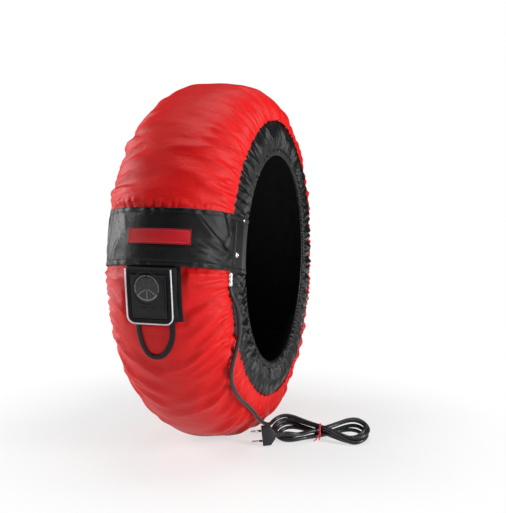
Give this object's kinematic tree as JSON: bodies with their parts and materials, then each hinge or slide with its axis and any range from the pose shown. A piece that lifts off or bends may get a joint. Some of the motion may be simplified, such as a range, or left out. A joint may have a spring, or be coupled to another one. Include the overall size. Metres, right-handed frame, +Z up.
{
  "type": "motorcycle tyre warmer",
  "caption": "Ring-shaped heated cloth cover for a wide motorcycle tyre, with elastic side skirts, a closure flap, a controller pouch and a tied power cord.",
  "frame": {"origin": "middle of the flat that the ring rests on, under the ring's axis", "axes": "+X along the ring's axis towards the side with the power cord, -Y towards the closure flap and controller, +Z up; the ring's axis is 0.331 m over the origin"},
  "size_m": [0.4132, 0.672, 0.6569],
  "materials": {
    "red_nylon": "coated nylon, soft sheen",
    "black_nylon": "coated nylon, satin",
    "felt": "needled felt",
    "lining": "heat-resistant woven lining",
    "elastic": "ribbed elastic tape",
    "tape": "hook and loop tape",
    "webbing": "woven webbing",
    "heater": "silicone-covered wire",
    "label": "stitched patch",
    "reflective": "reflective piping",
    "housing": "moulded plastic",
    "dial": "smooth dial film",
    "marks": "printed grey",
    "steel": "plated steel",
    "rubber": "rubber cord sheath",
    "plug": "moulded plug",
    "tie": "plastic-coated wire tie"
  },
  "bodies": {
    "root": {"outer_cover": "red_nylon", "insulation_pad": "felt", "inner_lining": "lining", "heater_wire": "heater", "thermostat": "housing", "side_skirt_left": "black_nylon", "hem_elastic_left": "elastic", "side_skirt_right": "black_nylon", "hem_elastic_right": "elastic", "closure_flap": "black_nylon", "loop_tape": "tape", "hook_tape": "tape", "label_patch": "label", "snap_cap_left": "steel", "rivet_left": "steel", "snap_cap_right": "steel", "rivet_right": "steel", "pouch_back_panel": "black_nylon", "pouch_front": "black_nylon", "controller_housing": "housing", "dial_face": "dial", "dial_bezel": "housing", "dial_marks": "marks", "pouch_piping": "reflective", "pull_loop": "webbing", "cord_ferrule": "steel", "cord_lead": "rubber", "cord_hank": "rubber", "cord_tail": "rubber", "cord_tie": "tie", "plug_body": "plug", "plug_boot": "plug", "plug_pin_lower": "steel", "plug_pin_upper": "steel"}
  },
  "joints": []
}
